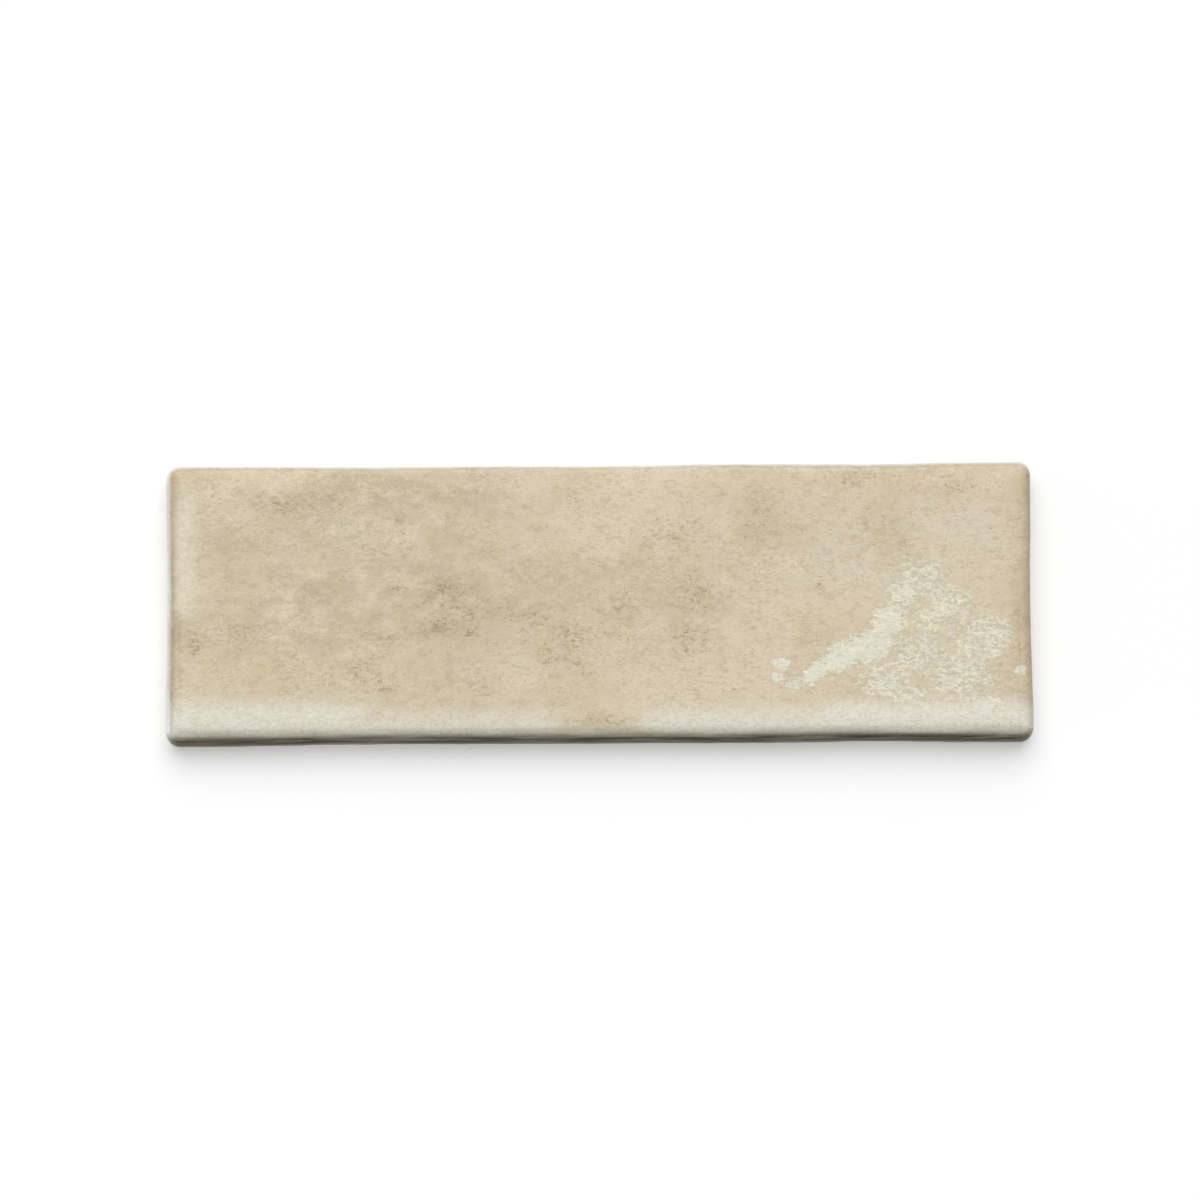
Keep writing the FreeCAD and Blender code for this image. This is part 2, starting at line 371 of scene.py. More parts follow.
class Recipe:
    """The nodes of one material, with short ways to add the usual ones."""

    shift_way: Point = (1.0, 0.7, 0.3)

    def __init__(self, name: str) -> None:
        """Start an empty material.

        Args:
            name: The name of the material.
        """
        self.material = bpy.data.materials.new(name)
        self.material.use_nodes = True
        self.tree = self.material.node_tree
        self.tree.nodes.clear()
        place = new_node(self.tree, "ShaderNodeTexCoord").outputs["Object"]
        self.place = self.vector("MULTIPLY", place, (1 / MM, 1 / MM, 1 / MM))

    def finish(self, values: dict[str, object]) -> bpy.types.Material:
        """Give the material its Principled shader.

        Args:
            values: What goes into the shader's inputs, by their names.

        Returns:
            The finished material.
        """
        shader = new_node(self.tree, "ShaderNodeBsdfPrincipled", values)
        new_node(self.tree, "ShaderNodeOutputMaterial", {"Surface": shader.outputs["BSDF"]})
        return self.material

    def math(self, operation: str, *values: object) -> Socket:
        """Work out a number."""
        return new_node(self.tree, "ShaderNodeMath", dict(enumerate(values)), operation=operation).outputs[0]

    def vector(self, operation: str, *values: object) -> Socket:
        """Work out a vector."""
        node = new_node(self.tree, "ShaderNodeVectorMath", dict(enumerate(values)), operation=operation)
        return node.outputs[0]

    def plus(self, *terms: object) -> Socket:
        """Add up numbers."""
        return reduce(partial(self.math, "ADD"), terms)

    def times(self, *factors: object) -> Socket:
        """Multiply numbers."""
        return reduce(partial(self.math, "MULTIPLY"), factors)

    def rest(self, share: object) -> Socket:
        """Give what a share leaves of 1."""
        return self.math("SUBTRACT", 1.0, share)

    def attribute(self, mask: Mask) -> Socket:
        """Read what the mesh stores under a name."""
        return new_node(self.tree, "ShaderNodeAttribute", attribute_name=mask.value).outputs["Fac"]

    def noise(self, grain: Grain) -> Socket:
        """Add a noise.

        Args:
            grain: The pattern.

        Returns:
            The noise, mostly between 0.3 and 0.7.
        """
        stretched = self.vector("MULTIPLY", self.place, tuple(1 / size for size in grain.pitch))
        place = self.vector("ADD", stretched, tuple(grain.shift * part for part in self.shift_way))
        values = {"Vector": place, "Scale": 1.0, "Detail": grain.layers, "Roughness": grain.roughness}
        return new_node(self.tree, "ShaderNodeTexNoise", values).outputs["Fac"]

    def sway(self, grain: Grain) -> Socket:
        """Add a noise that goes up and down about 0."""
        return self.math("SUBTRACT", self.noise(grain), 0.5)

    def spread(self, value: object, span: Span) -> Socket:
        """Let a number rise smoothly over a span.

        Args:
            value: The number.
            span: The span.

        Returns:
            What the number comes to.
        """
        values = {"Value": value, "From Min": span.low, "From Max": span.high}
        values |= {"To Min": span.bottom, "To Max": span.top}
        node = new_node(self.tree, "ShaderNodeMapRange", values, interpolation_type="SMOOTHSTEP")
        return node.outputs["Result"]

    def share(self, grain: Grain) -> Socket:
        """Add a noise and let it rise over its own span."""
        return self.spread(self.noise(grain), grain.span)

    def patch(self, mask: Mask, grain: Grain) -> Socket:
        """Fill what the mesh stores under a name with a pattern."""
        return self.times(self.attribute(mask), self.share(grain))

    def mix(self, share: object, first: object, second: object) -> Socket:
        """Mix two colours.

        Args:
            share: How much of the second one there is, from 0 to 1.
            first: The first colour.
            second: The second colour.

        Returns:
            The mixed colour.
        """
        values = {"Factor": share, FIRST_COLOUR: first, SECOND_COLOUR: second}
        return new_node(self.tree, "ShaderNodeMix", values, data_type="RGBA").outputs[MIXED_COLOUR]

    def stipple(self, grain: Grain, colour: object, high: Colour, low: Colour, share: object = 1.0) -> Socket:
        """Lay one colour over the high places of a pattern and another over the low ones.

        Args:
            grain: The pattern.
            colour: The colour so far.
            high: The colour of the high places.
            low: The colour of the low places.
            share: How strong both are.

        Returns:
            The new colour.
        """
        value = self.noise(grain)
        colour = self.mix(self.times(share, self.spread(value, grain.span)), colour, high)
        return self.mix(self.times(share, self.spread(value, grain.under)), colour, low)

    def bump(self, height: object, depth: float, under: Socket | None = None) -> Socket:
        """Raise the surface by a height map.

        Args:
            height: The map, from 0 to 1.
            depth: What 1 in the map stands for, in metres.
            under: The normal of a coarser bump, if there is one.

        Returns:
            The normal.
        """
        values = {"Distance": depth, "Height": height}
        if under is not None:
            values["Normal"] = under
        return new_node(self.tree, "ShaderNodeBump", values).outputs["Normal"]


@dataclass(frozen=True)
class Glaze:
    """The aged beige glaze of the face, which gives way to the bare body low on the sides.

    Grains and spans come in the order in which they are laid. A fray is how far noise pushes a mark's
    edge to and fro. The roughening is that of the sheen and of the worn, painted-shade and bare parts.
    """

    name: str = "aged_glaze"
    base: Colour = paint(205, 188, 158)
    light: Colour = paint(216, 200, 172)
    olive: Colour = paint(194, 179, 145)
    blush: Colour = paint(216, 201, 182)
    rust: Colour = paint(212, 184, 142)
    # A darker tone, also used as painted shade in the dip of the left end's roll.
    shade: Colour = paint(186, 169, 139)
    smudge: Colour = paint(150, 129, 92)
    fleck: Colour = paint(168, 149, 116)
    crumb: Colour = paint(231, 220, 188)
    bloom: Colour = paint(233, 231, 217)
    worn: Colour = paint(229, 228, 212)
    granule: Colour = paint(246, 238, 213)
    veil: Colour = paint(202, 194, 167)
    seam: Colour = paint(184, 171, 141)
    # The pale colour of the painted highlight on the back and left rolled edges.
    rim: Colour = paint(238, 238, 233)
    # Painted shade: the dark colour laid on the rolled edge and side, mostly at the front.
    edge_shade: Colour = paint(82, 75, 57)
    body: Colour = paint(198, 180, 154)

    clouds: Grain = Grain((26, 20, 20), 4, 0.55, 0, Span(0.38, 0.64))
    pools: Grain = Grain((18, 12, 12), 4, 0.6, 7, Span(0.5, 0.68, 0.7))
    tints: Grain = Grain((7, 5, 5), 4, 0.6, 11, Span(0.35, 0.6))
    mottle: Grain = Grain((3.0, 2.0, 2.0), 6, 0.7, 3, Span(0.5, 0.68, 0.4), Span(0.5, 0.3, 0.5))
    patches: Grain = Grain((9, 6, 6), 3, 0.55, 27, Span(0.36, 0.62, 1.0, 0.3))
    fibres: tuple[Grain, ...] = (
        Grain((1.25, 0.5, 0.6), 3, 0.62, 5, Span(0.5, 0.72, 0.55), Span(0.5, 0.28, 0.38)),
        Grain((0.4, 0.9, 0.6), 3, 0.62, 9, Span(0.5, 0.72, 0.26), Span(0.5, 0.28, 0.36)),
    )
    crumbs: Grain = Grain((0.55, 0.5, 0.5), 1, 0.5, 21, Span(0.67, 0.78, 0.7))

    film: Grain = Grain((3, 2.4, 2.4), 4, 0.6, 2, Span(0.35, 0.65, 0.34))
    flecks: Grain = Grain((1.15, 0.76, 1.0), 5, 0.76, 15, Span(0.56, 0.74, 0.84))
    smudge_flecks: float = 0.17

    speckle: Grain = Grain((1.9, 1.2, 1.2), 6, 0.78, 41)
    speckle_fray: float = 3.4
    solid_calm: float = 1.7
    solid_span: Span = Span(0.84, 0.98)
    drift: Grain = Grain((10, 6.5, 7), 3, 0.6, 97)
    worn_span: Span = Span(0.5, 0.92, 0.92)
    cracks: Grain = Grain((1.8, 0.6, 0.8), 3, 0.7, 4, Span(0.62, 0.52, 1.0, 0.5))

    ragged: Grain = Grain((3, 2, 2), 6, 0.75, 31)
    bloom_fray: float = 0.66
    bloom_span: Span = Span(0.0, 1.05, 0.9)
    mist: Grain = Grain((1.0, 0.6, 0.8), 4, 0.75, 35, Span(0.46, 0.62, 0.6))
    field_fray: float = 1.1
    field_span: Span = Span(0.25, 0.85)
    field_veil: float = 0.6
    solid_hold: float = 0.6
    clumps: Grain = Grain((5, 3.4, 4), 3, 0.6, 93, Span(0.4, 0.62, 0.7))
    beads: Grain = Grain((1.3, 0.85, 0.9), 4, 0.7, 91, Span(0.53, 0.6), Span(0.47, 0.35, 0.6))
    bead_share: float = 0.42
    ridge: Grain = Grain((1.5, 0.75, 0.9), 4, 0.65, 57)
    seam_span: Span = Span(0.035, 0.0, 0.8)

    # Breaks up the painted highlight.
    highlight_breakup: Grain = Grain((8, 5, 1.3), 5, 0.65, 85, Span(0.36, 0.6, 1.0, 0.45))
    # The streaks that break up the painted shade on the front side.
    streaks: Grain = Grain((14, 14, 0.45), 4, 0.6, 81, Span(0.36, 0.62, 1.02, 0.68))
    lip_span: Span = Span(0.06, -0.06)
    clay: Grain = Grain((0.7, 0.7, 0.7), 4, 0.6, 51, Span(0.4, 0.7, 0.5))

    ior: float = 1.42
    roughness: float = 0.28
    sheen: Grain = Grain((4, 3, 3), 4, 0.6, 61)
    roughening: tuple[float, float, float, float] = (0.16, 0.25, 0.5, 0.55)
    dimples: Grain = Grain((2.2, 1.8, 1.8), 2, 0.5, 71)
    dimple_depth: float = 0.05 * MM
    scratches: Grain = Grain((0.8, 0.35, 0.5), 3, 0.6, 5)
    scratch_depth: float = 0.02 * MM
    worn_depth: float = 0.03 * MM
    clay_depth: float = 0.12 * MM

    def colour(self, recipe: Recipe) -> Socket:
        """Lay the clouds, tints, mottle, fibres, crumbs and smudges over the base colour.

        Args:
            recipe: The material that is being made.

        Returns:
            The colour of the glaze where it isn't worn.
        """
        colour = recipe.mix(recipe.share(self.clouds), self.base, self.light)
        colour = recipe.mix(recipe.share(self.pools), colour, self.olive)
        for mask, tint in ((Mask.BLUSH, self.blush), (Mask.RUST, self.rust), (Mask.SHADE, self.shade)):
            colour = recipe.mix(recipe.patch(mask, self.tints), colour, tint)
        colour = recipe.stipple(self.mottle, colour, self.fleck, self.light)
        patches = recipe.share(self.patches)
        for fibre in self.fibres:
            colour = recipe.stipple(fibre, colour, self.fleck, self.crumb, patches)
        colour = recipe.mix(recipe.share(self.crumbs), colour, self.crumb)
        colour = recipe.mix(recipe.patch(Mask.SMUDGE, self.film), colour, self.smudge)
        crowding = recipe.times(recipe.attribute(Mask.SMUDGE), self.smudge_flecks)
        flecks = recipe.plus(crowding, recipe.noise(self.flecks))
        return recipe.mix(recipe.spread(flecks, self.flecks.span), colour, self.smudge)

    def wear(self, recipe: Recipe) -> tuple[Socket, Socket]:
        """Find where the glaze is worn.

        Args:
            recipe: The material that is being made.

        Returns:
            Where it is worn at all, and where it is worn all over instead of in grains, each from
            0 to 1.
        """
        mask = recipe.attribute(Mask.WORN)
        solid = recipe.spread(mask, self.solid_span)
        fray = recipe.math("SUBTRACT", self.speckle_fray, recipe.times(solid, self.solid_calm))
        speckle = recipe.times(recipe.sway(self.speckle), fray)
        worn = recipe.plus(mask, speckle, recipe.sway(self.drift))
        return recipe.times(recipe.spread(worn, self.worn_span), recipe.share(self.cracks)), solid

    def patina(self, recipe: Recipe, colour: Socket, worn: Socket, solid: Socket) -> Socket:
        """Lay the pale bloom and the worn patch over the colour.

        Args:
            recipe: The material that is being made.
            colour: The colour so far.
            worn: Where the glaze is worn, from 0 to 1.
            solid: Where it is worn all over, from 0 to 1.

        Returns:
            The aged colour.
        """
        ragged = recipe.sway(self.ragged)
        bloom = recipe.plus(recipe.attribute(Mask.BLOOM), recipe.times(ragged, self.bloom_fray))
        bloom = recipe.spread(bloom, self.bloom_span)
        colour = recipe.mix(bloom, colour, recipe.mix(recipe.share(self.mist), self.bloom, self.veil))

        whole = recipe.plus(recipe.attribute(Mask.WORN), recipe.times(ragged, self.field_fray))
        whole = recipe.spread(whole, self.field_span)
        clear = recipe.times(whole, recipe.rest(bloom))
        colour = recipe.mix(recipe.times(clear, self.field_veil), colour, self.veil)
        loose = recipe.rest(recipe.times(solid, self.solid_hold))
        creamy = recipe.times(recipe.share(self.clumps), loose)
        colour = recipe.mix(worn, colour, recipe.mix(creamy, self.worn, self.granule))

        beads = recipe.noise(self.beads)
        pale = recipe.times(whole, recipe.spread(beads, self.beads.span))
        pale = recipe.times(pale, recipe.plus(creamy, self.bead_share))
        colour = recipe.mix(pale, colour, self.granule)
        clear = recipe.times(clear, loose)
        gaps = recipe.times(clear, recipe.spread(beads, self.beads.under))
        colour = recipe.mix(gaps, colour, self.veil)
        ridge = recipe.math("ABSOLUTE", recipe.sway(self.ridge))
        seams = recipe.times(clear, recipe.spread(ridge, self.seam_span))
        return recipe.mix(seams, colour, self.seam)

    def make(self) -> bpy.types.Material:
        """Make the material.

        Returns:
            The finished material.
        """
        recipe = Recipe(self.name)
        worn, solid = self.wear(recipe)
        colour = self.patina(recipe, self.colour(recipe), worn, solid)
        # Painted highlight on the back and left rolled edges.
        colour = recipe.mix(recipe.patch(Mask.PAINTED_HIGHLIGHT, self.highlight_breakup), colour, self.rim)
        # Painted shade on the rolled edge and side, streaked.
        edge_shade = recipe.patch(Mask.PAINTED_SHADE, self.streaks)
        colour = recipe.mix(edge_shade, colour, self.edge_shade)
        bare = recipe.spread(recipe.attribute(Mask.HEIGHT), self.lip_span)
        clay = recipe.mix(recipe.share(self.clay), self.body, self.fleck)
        colour = recipe.mix(bare, colour, clay)

        parts = zip((recipe.sway(self.sheen), worn, edge_shade, bare), self.roughening)
        rough = recipe.plus(self.roughness, *(recipe.times(part, more) for part, more in parts))
        rough = recipe.math("MINIMUM", rough, 1.0)

        normal = recipe.bump(recipe.noise(self.dimples), self.dimple_depth)
        normal = recipe.bump(recipe.noise(self.scratches), self.scratch_depth, normal)
        normal = recipe.bump(recipe.rest(worn), self.worn_depth, normal)
        normal = recipe.bump(recipe.times(bare, recipe.noise(self.clay)), self.clay_depth, normal)
        return recipe.finish({"Base Color": colour, "Roughness": rough, "IOR": self.ior, "Normal": normal})


@dataclass(frozen=True)
class Bisque:
    """The bare fired body on the tile's back."""

    name: str = "bare_bisque"
    base: Colour = paint(200, 182, 155)
    dust: Colour = paint(216, 204, 182)
    scorch: Colour = paint(176, 152, 122)
    clouds: Grain = Grain((24, 18, 18), 4, 0.55, 0, Span(0.4, 0.66))
    stain: Grain = Grain((14, 10, 10), 5, 0.62, 13, Span(0.54, 0.7, 0.6))
    clay: Grain = Grain((0.6, 0.6, 0.6), 4, 0.65, 3, Span(0.5, 0.75, 0.6), Span(0.45, 0.28, 0.5))
    clay_depth: float = 0.14 * MM
    pores: Grain = Grain((0.9, 0.9, 0.9), 2, 0.5, 23, Span(0.66, 0.74))
    pore_depth: float = 0.12 * MM
    roughness: float = 0.88

    def make(self) -> bpy.types.Material:
        """Make the material.

        Returns:
            The finished material.
        """
        recipe = Recipe(self.name)
        colour = recipe.mix(recipe.share(self.clouds), self.base, self.dust)
        colour = recipe.mix(recipe.share(self.stain), colour, self.scorch)
        colour = recipe.stipple(self.clay, colour, self.scorch, self.dust)
        normal = recipe.bump(recipe.noise(self.clay), self.clay_depth)
        normal = recipe.bump(recipe.rest(recipe.share(self.pores)), self.pore_depth, normal)
        return recipe.finish({"Base Color": colour, "Roughness": self.roughness, "Normal": normal})


def turned(loop: list[Vertex]) -> list[tuple[Vertex, Vertex]]:
    """Pair each vertex of a closed loop with the next one."""
    return list(zip(loop, loop[1:] + loop[:1]))


def outline(grid: list[list[Vertex]]) -> list[Vertex]:
    """List the vertices round a grid, anticlockwise from its front left corner.

    Args:
        grid: The vertices, in columns from left to right, each from front to back.

    Returns:
        The vertices on its border, in order.
    """
    front = [column[0] for column in grid]
    back = [column[-1] for column in reversed(grid)]
    return front + grid[-1][1:-1] + back + list(reversed(grid[0][1:-1]))


def wander(place: Vector, fading: float) -> float:
    """Give a smooth random value, mostly from -1 to 1, by how fast its finer layers fade."""
    return noise.fractal(place, fading, LAYER_RATIO, LAYERS)


@dataclass
class GlazedTile:
    """The tile: a pressed body with wavy edges, glazed over its face and part of its sides."""

    length: float = 200 * MM
    width: float = 65 * MM
    thickness: float = 8 * MM
    corner_radius: float = 3.1 * MM
    side_draft: float = 1.0
    edge_roll: float = 2.6 * MM
    cushion_drop: float = 1.0 * MM
    cushion_reach: float = 9.0 * MM
    cushion_power: int = 3
    ripple_height: float = 0.12 * MM
    ripple_length: float = 58.0 * MM
    ripple_phases: tuple[float, float] = (40.0, 25.0)
    ripple_stretch: float = 0.7
    wave_reach: float = 15.0 * MM
    points_along: int = 14
    points_across: int = 7
    bed_bevel: float = 0.5 * MM
    rib_width: float = 1.8 * MM
    rib_height: float = 0.6 * MM
    bed_margin: float = 4.0 * MM
    cells_along: int = 12
    cells_across: int = 4
    mesh_step: float = 0.5 * MM
    step_growth: tuple[float, ...] = (0.5, 0.6, 0.7, 0.8)
    roll_steps: int = 11
    side_steps: int = 11
    fit_rounds: int = 8
    unevenness: float = 0.05 * MM
    swell_pitch: float = 13 * MM
    swell_share: float = 0.5
    dimple_pitch: float = 2.4 * MM
    dimple_share: float = 0.08
    lump_depth: float = 0.12 * MM
    lump_pitch: Point = (6 * MM, 6 * MM, 1.6 * MM)
    lump_share: float = 0.6
    lump_reach: float = 3 * MM
    glaze_step: float = 0.05 * MM
    lip_height: float = 1.9 * MM
    lip_wander: float = 0.9 * MM
    lip_pitch: float = 7 * MM
    marks_rise: Span = Span(1.9 * MM, 5.6 * MM)
    near_edge: Span = Span(4.0 * MM, 2.8 * MM)
    # Where the painted shade lies: down the front side's roll and a little on the other sides.
    edge_shade_top: Span = Span(8.1 * MM, 6.7 * MM)
    edge_shade_foot: Span = Span(2.2 * MM, 4.6 * MM, 1.0, 0.55)
    edge_shade_aside: float = 0.1
    # Where the painted highlight lies on the back and left rolled edges.
    highlight_line: float = 6.0 * MM
    highlight_spread: Span = Span(1.0 * MM, 0.0)
    # The thin line of painted shade in the dip of the left end's roll.
    groove_line: float = 7.15 * MM
    groove_spread: Span = Span(0.6 * MM, 0.0, 0.45)
    name: str = "glazed_tile"
    edges: dict[Side, WavyEdge] = field(init=False)
    contact: float = field(init=False)
    roll_height: float = field(init=False)

    def __post_init__(self) -> None:
        """Draw the four edges and fit the roll to the cushion's slope."""
        along = (self.length - 2 * self.corner_radius, self.points_along)
        across = (self.width - 2 * self.corner_radius, self.points_across)
        runs = {Side.FRONT: along, Side.BACK: along, Side.RIGHT: across, Side.LEFT: across}
        self.edges = {side: WavyEdge(side, run, count) for side, (run, count) in runs.items()}
        self.contact = self.edge_roll
        steepest = self.cushion_power * self.cushion_drop / self.cushion_reach
        for _ in range(self.fit_rounds):
            lean = math.atan(steepest * (1 - self.contact / self.cushion_reach) ** (self.cushion_power - 1))
            self.contact = self.edge_roll * (1 - math.sin(lean))
        self.roll_height = -self.fall(self.contact) - self.edge_roll * math.cos(lean)

    def fall(self, distance: float) -> float:
        """Give how far the cushion edge has dropped at a distance from the side."""
        return self.cushion_drop * max(1 - distance / self.cushion_reach, 0) ** self.cushion_power

    def roll_drop(self, inset: float) -> float:
        """Give how much lower the rolled edge is than the cushion.

        Args:
            inset: The distance from the wavy edge.

        Returns:
            The extra drop, 0 further in than the roll.
        """
        if inset >= self.contact:
            return 0.0
        arc = self.roll_height + math.sqrt(self.edge_roll**2 - (self.edge_roll - inset) ** 2)
        return -self.fall(inset) - arc

    def face_height(self, x: float, y: float, inset: float) -> float:
        """Give the height of the face over the bed.

        Args:
            x: The place along the tile.
            y: The place across the tile.
            inset: The distance from the wavy edge.

        Returns:
            The height.
        """
        turn = math.tau / self.ripple_length
        phases = [math.radians(phase) for phase in self.ripple_phases]
        ripple = math.sin(turn * x + phases[0]) * math.cos(turn * y * self.ripple_stretch + phases[1])
        falls = math.hypot(self.fall(self.length / 2 - abs(x)), self.fall(self.width / 2 - abs(y)))
        height = self.thickness + self.ripple_height / 2 * (ripple / 2 - 1) - falls
        swell = wander(Vector((x, y, SWELL_SHIFT)) / self.swell_pitch, FACE_FADING)
        dimple = noise.noise(Vector((x, y, DIMPLE_SHIFT)) / self.dimple_pitch)
        share = 0.5 + self.swell_share * swell + self.dimple_share * dimple
        return height - self.roll_drop(inset) - self.unevenness * share

    def lines(self, half: float) -> list[float]:
        """List the places of the mesh lines across the face, close together at the rolled edge.

        Args:
            half: Half the length or width.

        Returns:
            The places, from one edge to the other.
        """
        lean = math.asin(1 - self.contact / self.edge_roll)
        angles = [(math.pi / 2 - lean) * number / self.roll_steps for number in range(self.roll_steps + 1)]
        insets = [self.edge_roll * (1 - math.cos(angle)) for angle in angles]
        for growth in self.step_growth:
            insets.append(insets[-1] + growth * self.mesh_step)
        inner = half - insets[-1]
        count = round(2 * inner / self.mesh_step)
        middle = [inner * (2 * number / count - 1) for number in range(1, count)]
        return [inset - half for inset in insets] + middle + [half - inset for inset in reversed(insets)]

    def plan(self, across_x: float, across_y: float) -> tuple[float, float, float]:
        """Place a crossing of two mesh lines, around the rounded corners and along the wavy edges.

        Args:
            across_x: The place of the line that runs across the tile.
            across_y: The place of the line that runs along the tile.

        Returns:
            The point's two coordinates and its distance from the edge.
        """
        x, y = abs(across_x), abs(across_y)
        inset_x, inset_y = self.length / 2 - x, self.width / 2 - y
        inset = min(inset_x, inset_y)
        radius = self.corner_radius - inset
        if max(inset_x, inset_y) < self.corner_radius:
            lean = math.pi / 4 * (1 - (max(inset_x, inset_y) - inset) / radius)
            if inset_y < inset_x:
                lean = math.pi / 2 - lean
            x = self.length / 2 - self.corner_radius + radius * math.cos(lean)
            y = self.width / 2 - self.corner_radius + radius * math.sin(lean)
        end = self.edges[Side.RIGHT if across_x > 0 else Side.LEFT]
        flank = self.edges[Side.BACK if across_y > 0 else Side.FRONT]
        x -= end.inset(across_y) * smooth_step(inset_x, self.wave_reach, 0)
        y -= flank.inset(across_x) * smooth_step(inset_y, self.wave_reach, 0)
        return math.copysign(x, across_x), math.copysign(y, across_y), inset

    def outward(self, x: float, y: float) -> Vector:
        """Give the level direction out of the side, at a point on the outline.

        Args:
            x: The place along the tile.
            y: The place across the tile.

        Returns:
            The direction, of length 1.
        """
        core_x = self.length / 2 - self.corner_radius
        core_y = self.width / 2 - self.corner_radius
        core = Vector((min(max(x, -core_x), core_x), min(max(y, -core_y), core_y), 0))
        away = Vector((x, y, 0)) - core
        if abs(away.x) <= TINY:
            return Vector((0, math.copysign(1, y), 0))
        return away.normalized() if abs(away.y) > TINY else Vector((math.copysign(1, x), 0, 0))

    def lump(self, x: float, y: float, z: float) -> float:
        """Give how far the uneven rim stands in from its smooth shape."""
        place = Vector([at / pitch for at, pitch in zip((x, y, z), self.lump_pitch)])
        return self.lump_depth * min(max(0.5 + self.lump_share * wander(place, SIDE_FADING), 0), 1)

    def lip_at(self, x: float, y: float) -> float:
        """Give the height at which the glaze ends on the side."""
        place = Vector((x, y, LIP_SHIFT)) / self.lip_pitch
        return self.lip_height + self.lip_wander * wander(place, SIDE_FADING)

    def add_face(self, mesh: bmesh.types.BMesh) -> list[Vertex]:
        """Build the glazed face, with its cushion edge and roll.

        Args:
            mesh: The mesh to build in.

        Returns:
            The vertices round its rim, in order.
        """
        rows = self.lines(self.width / 2)
        grid = []
        for across_x in self.lines(self.length / 2):
            line = []
            for across_y in rows:
                x, y, inset = self.plan(across_x, across_y)
                z = self.face_height(x, y, inset)
                keep = smooth_step(inset, self.lump_reach, 0)
                lump = self.lump(x, y, z) * keep if keep > 0 else 0
                line.append(mesh.verts.new(self.stand_in(x, y, z, lump)))
            grid.append(line)
        for left, right in zip(grid, grid[1:]):
            for corners in zip(left, right, right[1:], left[1:]):
                mesh.faces.new(corners).smooth = True
        return outline(grid)

    def add_sides(self, mesh: bmesh.types.BMesh, rim: list[Vertex]) -> list[Vertex]:
        """Build the drafted sides and the bevel at the bed.

        Args:
            mesh: The mesh to build in.
            rim: The vertices round the rim of the face.

        Returns:
            The vertices round the bed, in the same order.
        """
        full_height = self.thickness - self.cushion_drop - self.edge_roll
        draft = math.tan(math.radians(self.side_draft))
        plans = [self.plan_of_rim(vertex) for vertex in rim]
        rings = [rim]
        for step in range(1, self.side_steps + 1):
            ring = []
            for vertex, (x, y) in zip(rim, plans):
                z = self.bed_bevel + (vertex.co.z - self.bed_bevel) * (1 - step / self.side_steps)
                inset = (full_height - z) * draft + self.lump(x, y, z)
                inset += self.glaze_step if z < self.lip_at(x, y) else 0
                ring.append(mesh.verts.new(self.stand_in(x, y, z, inset)))
            rings.append(ring)
        inset = self.bed_bevel + full_height * draft
        rings.append([mesh.verts.new(self.stand_in(x, y, 0, inset)) for x, y in plans])
        for upper, lower in zip(rings, rings[1:]):
            for (above, above_next), (below, below_next) in zip(turned(upper), turned(lower)):
                face = mesh.faces.new((above, below, below_next, above_next))
                face.smooth = lower is not rings[-1]
        return rings[-1]

    def stand_in(self, x: float, y: float, z: float, inset: float) -> Point:
        """Give the point at a height, at a distance in from a point on the outline."""
        away = self.outward(x, y) * max(inset, 0)
        return x - away.x, y - away.y, z

    def plan_of_rim(self, vertex: Vertex) -> tuple[float, float]:
        """Give where a rim vertex would be without its lumps."""
        away = self.outward(vertex.co.x, vertex.co.y) * self.lump(*vertex.co)
        return vertex.co.x + away.x, vertex.co.y + away.y

    def cell_lines(self, size: float, count: int) -> list[float]:
        """List the borders of the hollows on the back along one axis.

        Args:
            size: The tile's length or width.
            count: The number of hollows.

        Returns:
            The two borders of each hollow, in order.
        """
        pitch = (size - 2 * self.bed_margin) / count
        starts = [self.bed_margin - size / 2 + number * pitch for number in range(count)]
        rib = self.rib_width / 2
        return [place for start in starts for place in (start + rib, start + pitch - rib)]

    def add_back(self, mesh: bmesh.types.BMesh, bed: list[Vertex]) -> None:
        """Build the back, with its grid of shallow hollows.

        Args:
            mesh: The mesh to build in.
            bed: The vertices round the bed.
        """
        columns = self.cell_lines(self.length, self.cells_along)
        rows = self.cell_lines(self.width, self.cells_across)
        grid = [[mesh.verts.new((x, y, 0)) for y in rows] for x in columns]
        faces = []
        for column, (left, right) in enumerate(zip(grid, grid[1:])):
            for row in range(len(rows) - 1):
                rim = [left[row], left[row + 1], right[row + 1], right[row]]
                if column % 2 or row % 2:
                    faces.append(mesh.faces.new(rim))
                    continue
                floor = [mesh.verts.new(vertex.co + Vector((0, 0, self.rib_height))) for vertex in rim]
                faces.append(mesh.faces.new(floor))
                for (low, low_next), (high, high_next) in zip(turned(rim), turned(floor)):
                    faces.append(mesh.faces.new((low, low_next, high_next, high)))
        pairs = turned(bed) + turned(outline(grid))
        edges = [mesh.edges.get(pair) or mesh.edges.new(pair) for pair in pairs]
        filled = bmesh.ops.triangle_fill(mesh, edges=edges, use_beauty=True, normal=(0, 0, -1))
        faces += [item for item in filled["geom"] if isinstance(item, bmesh.types.BMFace)]
        for face in faces:
            face.material_index = 1

    def mark_at(self, marks: list[Mark], place: Vector) -> float:
        """Give the weight of the strongest of some marks at a point, fading out down the sides."""
        fade = self.marks_rise.at(place.z)
        return fade * max(mark.weight(place.x, place.y) for mark in marks) if fade else 0.0

    def above_lip(self, place: Vector) -> float:
        """Give how far a point is above the lip of the glaze, in millimetres."""
        return (place.z - self.lip_at(place.x, place.y)) / MM

    def near_side(self, place: Vector) -> float:
        """Give how near a point is to the outline, from 0 to 1."""
        return self.near_edge.at(min(self.length / 2 - abs(place.x), self.width / 2 - abs(place.y)))

